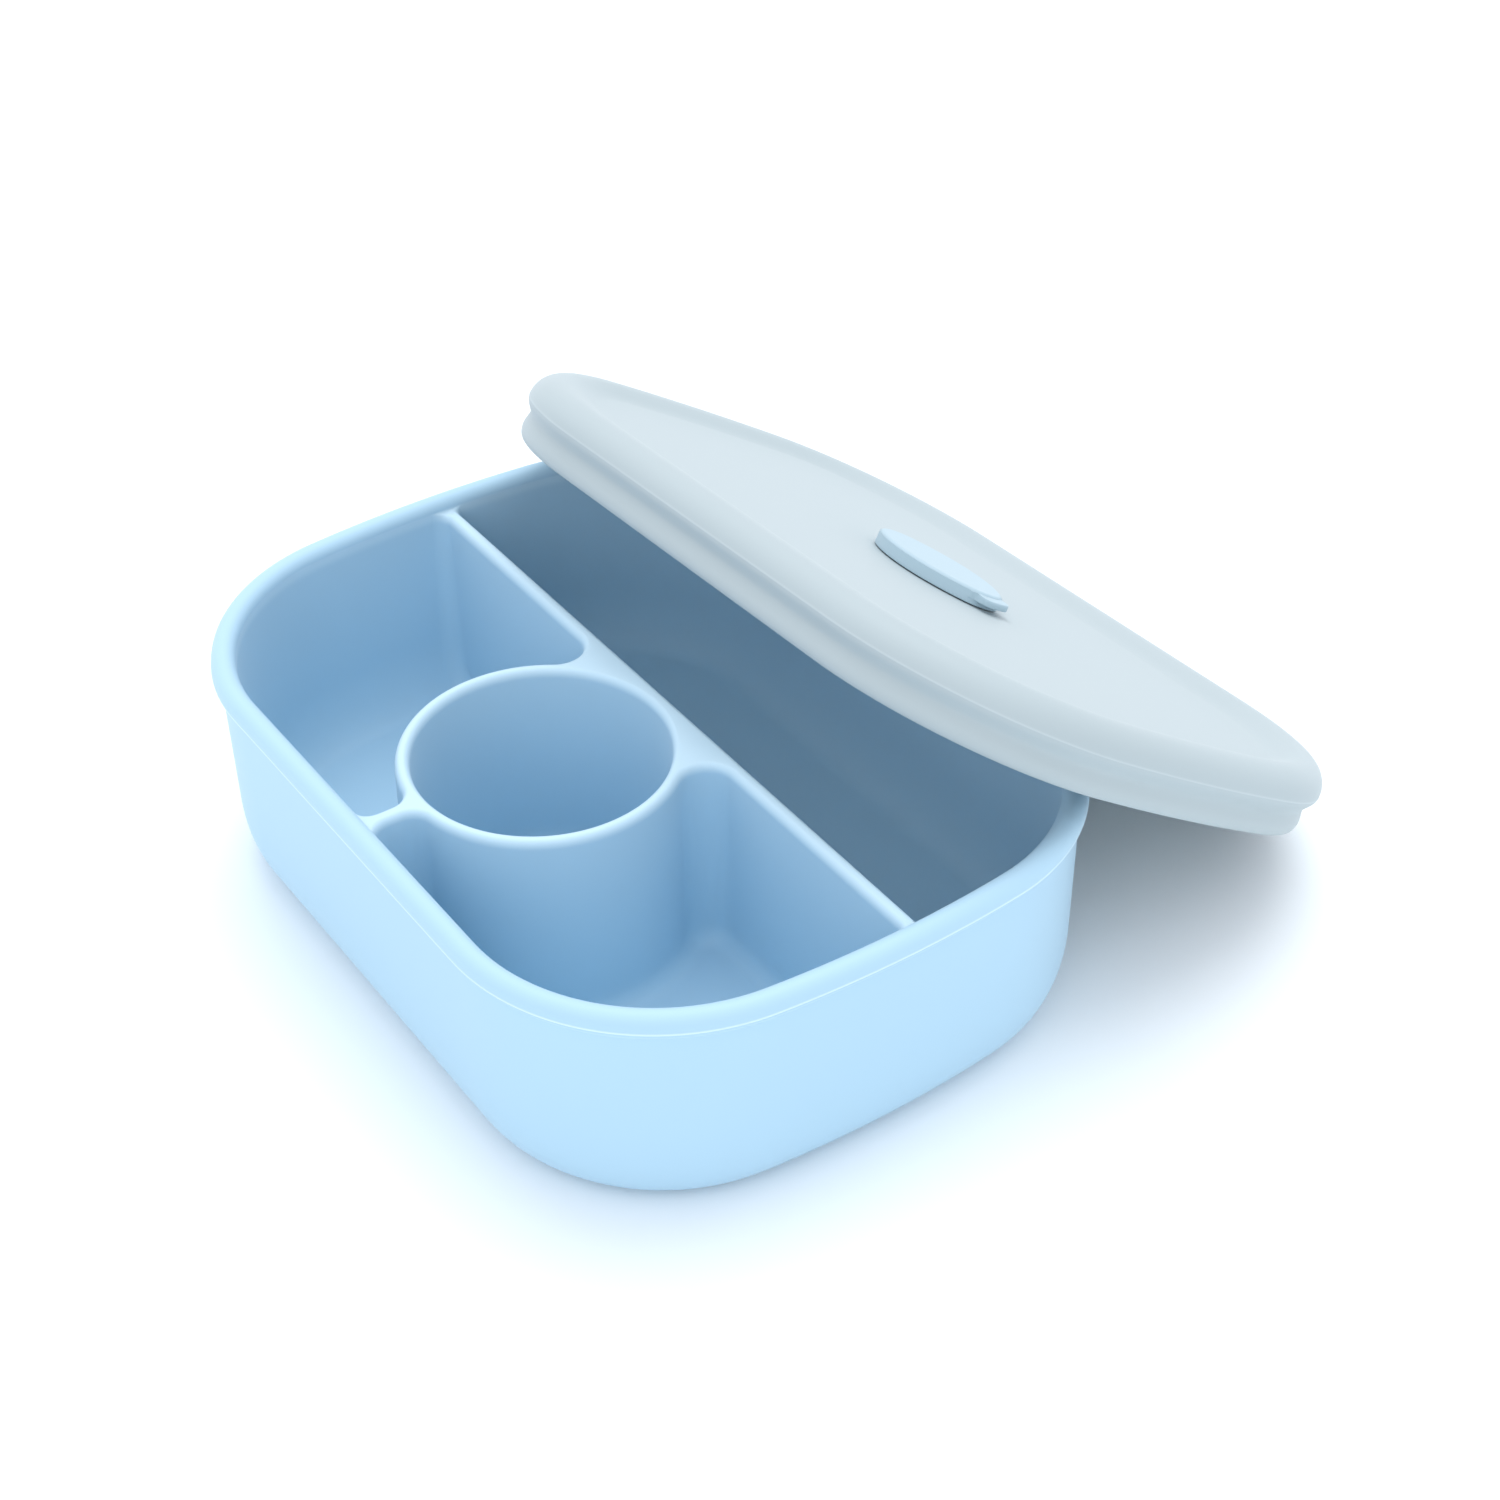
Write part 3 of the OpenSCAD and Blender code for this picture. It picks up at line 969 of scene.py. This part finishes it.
@dataclass
class Lid:
    """The soft lid with its crown, bead, groove and lip, in its own frame on the skirt's foot.

    Sizes that end in _x lie outside the rim's outline, and those in _z over the lid's frame.
    """

    outline: Outline
    pose: Pose
    # Panel, slope and crown
    panel_z: float = 12.1 * MM
    panel_top: float = 14.1 * MM
    panel_edge: float = 0.15 * MM
    margin: float = 1.5 * MM
    end_slope: float = 7.5 * MM
    side_slope: float = 12.5 * MM
    crown_x: float = -5.0 * MM
    # Bead with the ridge of its parting line, groove, lip and the skirt's foot
    bead_z: float = 10.2 * MM
    bead_r: float = 6.5 * MM
    ridge: float = 0.06 * MM
    ridge_h: float = 0.24 * MM
    groove_x: float = -0.55 * MM
    groove_z: float = 6.4 * MM
    groove_ease: float = 0.7
    lip_x: float = 0.0 * MM
    lip_z: float = 3.0 * MM
    foot_z: float = 0.5 * MM
    foot_edge: float = 0.35 * MM
    # The skirt's inner face and the channel for the tray's rim
    skirt_x: float = -1.6 * MM
    skirt_z: float = 8.2 * MM
    channel_x: float = -2.9 * MM
    channel_z: float = 12.2 * MM
    channel_r: float = 3.2 * MM
    channel_turn: float = -12.6
    # The plug's hole
    hole: tuple[float, float] = (2.0 * MM, 1.0 * MM)
    hole_r: float = 3.25 * MM
    hole_edge: float = 0.25 * MM
    hole_margin: float = 3.0 * MM

    def slope(self, station: Station) -> float:
        """Width of the slope inside the crown, wider along the straight sides."""
        return mix(self.end_slope, self.side_slope, smooth(abs(station.inward.y)) ** 2)

    def top_section(self) -> list[Ring]:
        """Section from the panel over the crown and down the bead to its parting line."""
        crown = self.bead_z + self.bead_r
        section = [
            Ring(self.crown_x, mix(self.panel_top, crown, smooth(share)), 1.0 - share)
            for share in (0.0, *shares(12))
        ]
        bead = self.bead_r - self.ridge / 2
        section += [
            Ring(self.crown_x + bead * math.cos(a), self.bead_z + self.bead_r * math.sin(a))
            for a in turns(90.0, 3.6, 12)[1:]
        ]
        out = self.crown_x + bead
        # The parting line's rings get a painted highlight, palest on the ridge.
        section += [
            Ring(out + self.ridge * 0.4, self.bead_z + 0.1 * MM, painted_highlight=0.7),
            Ring(out + self.ridge / 2, self.bead_z, painted_highlight=1.0),
            Ring(out + self.ridge * 0.3, self.bead_z - 0.1 * MM, painted_highlight=0.7),
            Ring(out - self.ridge * 0.3, self.bead_z - self.ridge_h),
        ]
        return section

    def skirt_section(self) -> list[Ring]:
        """Section from under the bead over groove and lip to the channel and the underside."""
        out = self.crown_x + self.bead_r - self.ridge
        under = self.bead_z - self.ridge_h
        section = []
        for share in shares(8):
            bend = mix(share**2, smooth(share), self.groove_ease)
            section.append(Ring(mix(out, self.groove_x, bend), mix(under, self.groove_z, share)))
        for share in shares(6):
            lip = mix(self.groove_x, self.lip_x, smooth(share))
            section.append(Ring(lip, mix(self.groove_z, self.lip_z, share)))
        foot = self.skirt_x + self.foot_edge
        for a in turns(0.0, 90.0, 8)[1:]:
            lip = mix(foot, self.lip_x, math.cos(a))
            section.append(Ring(lip, mix(self.lip_z, self.foot_z, math.sin(a))))
        section += [
            Ring(self.skirt_x + 0.1 * MM, self.foot_z + 0.08 * MM),
            Ring(self.skirt_x, self.foot_z + self.foot_edge),
            Ring(self.skirt_x, self.skirt_z / 2),
            Ring(self.skirt_x, self.skirt_z),
        ]
        x, z, r = self.channel_x, self.channel_z, self.channel_r
        section += [
            Ring(x + r * math.cos(a), z + r * math.sin(a))
            for a in turns(self.channel_turn, 180.0, 16)
        ]
        section += [
            Ring(x - r, self.panel_z + self.panel_edge),
            Ring(x - r - self.panel_edge, self.panel_z),
            Ring(x - r - self.margin, self.panel_z),
        ]
        return section

    def ring_place(self, station: Station, ring: Ring) -> Vector:
        """A ring's point at a station, in the lid's frame."""
        out = ring.across - self.slope(station) * ring.share
        return (station.point - station.inward * out).to_3d() + UP * ring.height

    def bore(self, bm: bmesh.types.BMesh) -> tuple[Edges, Edges]:
        """Draws the plug's hole with its rounded edges.

        Args:
            bm: The lid's mesh.

        Returns:
            The edges that bound it on the panel's top and on its underside.
        """
        edge, margin = self.hole_edge, self.hole_margin
        first = Ring(-margin, self.panel_top)
        hole = Skin.from_loop(bm, circle(self.hole, self.hole_r, 60), lambda s: laid(s, first))
        top = hole.edges
        section = [
            Ring(-2 * edge, self.panel_top),
            Ring(-edge, self.panel_top),
            Ring(0.0, self.panel_top - edge),
            Ring(0.0, self.panel_z + edge),
            Ring(-edge, self.panel_z),
            Ring(-margin, self.panel_z),
        ]
        hole.draw(section, laid)
        return top, hole.edges

    def build(self) -> bpy.types.Object:
        """Makes the lid, with the plug's hole open."""
        bm = blank()
        hole_top, hole_under = self.bore(bm)
        first = Ring(self.crown_x - self.margin, self.panel_top, 1.0)
        skin = Skin.from_loop(bm, self.outline.stations(), lambda s: self.ring_place(s, first))
        panel_edge = skin.edges
        skin.draw(self.top_section() + self.skirt_section(), self.ring_place)
        skin.close(hole_under)
        bmesh.ops.triangle_fill(bm, use_beauty=True, edges=panel_edge + hole_top)
        bmesh.ops.transform(bm, matrix=self.pose.matrix, verts=bm.verts)
        return make_piece(bm, "silicone_lid", "lid", LID_SILICONE)


# --------------------------------------------------------------------------------------
# Vent plug


@dataclass
class VentPlug:
    """The oval plug with its raised pull tab and the stem that fills the lid's hole."""

    pose: Pose
    place: tuple[float, float, float] = (2.7 * MM, 1.0 * MM, 14.4 * MM)
    length: float = 38.6 * MM
    width: float = 23.8 * MM
    height: float = 3.6 * MM
    end_r: float = 8.0 * MM
    edge_r: float = 1.0 * MM
    tab_reach: float = 3.0 * MM
    tab_half: float = 4.4 * MM
    tab_low: float = 1.3 * MM
    tab_high: float = 3.0 * MM
    tab_round: float = 2.6 * MM
    tab_root: float = 2.2 * MM
    throat: float = 1.4 * MM
    throat_start: float = 0.55
    foot_edge: float = 0.3 * MM
    stem_x: float = -0.7 * MM
    stem_r: float = 3.0 * MM
    stem_l: float = 4.1 * MM

    def stations(self) -> list[Station]:
        """Stations round the oval; each crest is where the same station lies along the tab."""
        along = self.length / 2 - self.end_r
        half = self.width / 2
        side_r = (along**2 + half**2 - self.end_r**2) / (2 * half - 2 * self.end_r)
        joint = bearing((0.0, 0.0), (along, side_r - half))
        back, front = (0.0, half - side_r), (0.0, side_r - half)
        path = PlanPath()
        path.arc((along, 0.0), self.end_r, -joint, joint, 60)
        path.arc(back, side_r, joint, 180.0 - joint, 40)
        path.arc((-along, 0.0), self.end_r, 180.0 - joint, 180.0 + joint, 30)
        path.arc(front, side_r, 180.0 + joint, 360.0 - joint, 40)
        for station in path.stations:
            spot = self.on_tab(station)
            station.crest = Vector((spot.x, spot.y, 0.0))
        return path.stations

    def on_tab(self, station: Station) -> Vector:
        """Where a station of the oval lies when the tab is drawn out of it."""
        point = station.point
        tip, round_r, throat = self.length / 2 + self.tab_reach, self.tab_round, self.throat
        reach = self.tab_half + throat
        if point.x < 0 or abs(point.y) >= reach:
            return point
        side = math.copysign(1.0, point.y)
        end, corner = self.tab_half - round_r, round_r * math.pi / 2
        flank = tip - round_r - point.x + throat * 1.2
        run = abs(point.y) / reach * (end + corner + flank)
        if run <= end:
            return Vector((tip, side * run))
        if run <= end + corner:
            turn = (run - end) / round_r
            out, across = math.cos(turn), math.sin(turn)
            return Vector((tip - round_r * (1 - out), side * (end + round_r * across)))
        share = (run - end - corner) / flank
        flare = smooth((share - self.throat_start) / (1 - self.throat_start))
        across = self.tab_half + throat * flare * share
        root = self.length / 2 - self.tab_root
        return Vector((mix(tip - round_r, root, share), side * across))

    def section(self) -> list[Ring]:
        """Section of the head from its foot to its top, with the tab drawn out half-way up."""
        low, high, edge = self.tab_low, self.tab_high, self.edge_r
        foot = [Ring(0.05 * MM, 0.08 * MM), Ring(0.0, 0.25 * MM), Ring(0.0, low - 0.1 * MM)]
        tab_under = [Ring(0.0, low, 0.06), Ring(0.0, low, 0.88), Ring(0.0, low + 0.06 * MM, 0.95)]
        tab_edge = [Ring(0.0, low + 0.22 * MM, 1.0), Ring(0.0, high - 0.4 * MM, 1.0)]
        tab_edge += [Ring(0.0, high - 0.2 * MM, 0.985), Ring(0.0, high - 0.05 * MM, 0.94)]
        tab_top = [Ring(0.0, high, 0.86), Ring(0.0, high + 0.02 * MM, 0.1)]
        top = [Ring(0.0, high + 0.1 * MM)]
        top += [
            Ring(edge * (1 - math.cos(a)), self.height - edge * (1 - math.sin(a)))
            for a in turns(0.0, 90.0, 6)[1:]
        ]
        top += [Ring(edge + 0.8 * MM, self.height)]
        return foot + tab_under + tab_edge + tab_top + top

    def ring_place(self, station: Station, ring: Ring) -> Vector:
        """A ring's point at a station of the head, in the plug's frame."""
        spot = station.point.lerp(station.crest.to_2d(), ring.share)
        return (spot + station.inward * ring.across).to_3d() + UP * ring.height

    def build(self) -> bpy.types.Object:
        """Makes the plug."""
        bm = blank()
        first = Ring(self.foot_edge, 0.0)
        skin = Skin.from_loop(bm, self.stations(), lambda s: self.ring_place(s, first))
        under = skin.edges
        skin.draw(self.section(), self.ring_place)
        skin.close()

        around = circle((self.stem_x, 0.0), self.stem_r, 60)
        stem = Skin.from_loop(bm, around, lambda s: s.point.to_3d())
        root = stem.edges
        rings = ((0.0, 0.5), (0.0, 0.93), (0.1 * MM, 0.98), (0.35 * MM, 1.0))
        stem.draw([Ring(inset, -self.stem_l * share) for inset, share in rings], laid)
        stem.close()
        bmesh.ops.triangle_fill(bm, use_beauty=True, edges=under + root)
        place = self.pose.matrix @ Matrix.Translation(Vector(self.place))
        bmesh.ops.transform(bm, matrix=place, verts=bm.verts)
        return make_piece(bm, "silicone_vent_plug", "vent_plug", PLUG_SILICONE)


# --------------------------------------------------------------------------------------
# Studio


@dataclass(frozen=True)
class Lamp:
    """A wide, far lamp: its strength, how wide it is in degrees, and the way towards it."""

    name: str
    strength: float
    angle: float
    source: tuple[float, float, float]

    def build(self) -> None:
        """Makes the lamp."""
        data = bpy.data.lights.new(self.name, "SUN")
        data.energy = self.strength
        data.angle = math.radians(self.angle)
        lamp = bpy.data.objects.new(self.name, data)
        lamp.rotation_euler = Vector(self.source).to_track_quat("Z", "Y").to_euler()
        bpy.context.scene.collection.objects.link(lamp)


KEY = Lamp("key", 1.35, 50.0, (-0.33, 0.33, 1.0))
FILL = Lamp("fill", 0.35, 60.0, (0.5, -0.5, 0.7))


@dataclass(frozen=True)
class Studio:
    """The white table, its light and the camera."""

    eye: tuple[float, float, float] = (0.419538, -0.254308, 0.425442)
    ahead: tuple[float, float, float] = (-0.65117, 0.44212, -0.61686)
    upward: tuple[float, float, float] = (-0.50250, 0.35794, 0.78700)
    lens: float = 66.28
    pixels: int = 1500
    table_size: float = 6.0
    table_colour: tuple[float, float, float] = (0.93, 0.98, 1.0)
    table_roughness: float = 0.9
    light_colour: tuple[float, float, float] = (0.97, 0.98, 1.04)
    light: float = 0.96

    def table(self) -> None:
        """A wide white table top."""
        material = bpy.data.materials.new("table")
        material.use_nodes = True
        shader = material.node_tree.nodes["Principled BSDF"]
        shader.inputs["Base Color"].default_value = (*self.table_colour, 1.0)
        shader.inputs["Roughness"].default_value = self.table_roughness
        shader.inputs["Specular IOR Level"].default_value = 0.0
        bm = bmesh.new()
        bmesh.ops.create_grid(bm, x_segments=1, y_segments=1, size=self.table_size)
        mesh = bpy.data.meshes.new("table")
        bm.to_mesh(mesh)
        bm.free()
        mesh.materials.append(material)
        top = bpy.data.objects.new("table", mesh)
        bpy.context.scene.collection.objects.link(top)

    def surroundings(self) -> None:
        """White surroundings: plain white where they are seen or mirrored, softer as light."""
        world = bpy.data.worlds.new("surroundings")
        bpy.context.scene.world = world
        world.use_nodes = True
        nodes, links = world.node_tree.nodes, world.node_tree.links
        light = nodes["Background"]
        light.inputs["Color"].default_value = (*self.light_colour, 1.0)
        light.inputs["Strength"].default_value = self.light
        white = nodes.new("ShaderNodeBackground")
        white.inputs["Color"].default_value = (1.0, 1.0, 1.0, 1.0)
        path = nodes.new("ShaderNodeLightPath")
        seen = path.outputs["Is Camera Ray"]
        for label in ("Is Glossy Ray", "Is Transmission Ray"):
            either = nodes.new("ShaderNodeMath")
            either.operation = "MAXIMUM"
            links.new(seen, either.inputs[0])
            links.new(path.outputs[label], either.inputs[1])
            seen = either.outputs["Value"]
        choose = nodes.new("ShaderNodeMixShader")
        links.new(seen, choose.inputs["Fac"])
        links.new(light.outputs["Background"], choose.inputs[1])
        links.new(white.outputs["Background"], choose.inputs[2])
        links.new(choose.outputs["Shader"], nodes["World Output"].inputs["Surface"])

    def camera(self) -> None:
        """Sets up the camera."""
        data = bpy.data.cameras.new("camera")
        data.lens = self.lens
        data.sensor_width = 36.0
        data.clip_start = 0.01
        ahead = Vector(self.ahead).normalized()
        right = ahead.cross(Vector(self.upward)).normalized()
        upward = right.cross(ahead)
        camera = bpy.data.objects.new("camera", data)
        camera.matrix_world = Matrix(
            (
                (right.x, upward.x, -ahead.x, self.eye[0]),
                (right.y, upward.y, -ahead.y, self.eye[1]),
                (right.z, upward.z, -ahead.z, self.eye[2]),
                (0.0, 0.0, 0.0, 1.0),
            )
        )
        scene = bpy.context.scene
        scene.collection.objects.link(camera)
        scene.camera = camera
        scene.render.resolution_x = self.pixels
        scene.render.resolution_y = self.pixels
        scene.view_settings.view_transform = "Standard"

    def build(self) -> None:
        """Sets up everything round the object."""
        self.table()
        self.surroundings()
        KEY.build()
        FILL.build()
        self.camera()


# --------------------------------------------------------------------------------------


def main() -> None:
    """Builds the lunch box and the studio."""
    logging.basicConfig(level=logging.INFO, format="%(name)s: %(message)s")
    outline = Outline(length=200.0 * MM, width=150.0 * MM, corner_r=50.0 * MM, end_r=290.0 * MM)
    pose = Pose(place=(-4.05 * MM, 76.48 * MM, 42.76 * MM), turns=(-33.99, -2.1, 1.61))
    Tray(outline, height=57.0 * MM).build()
    Lid(outline, pose).build()
    VentPlug(pose).build()
    Studio().build()


if __name__ == "__main__":
    main()
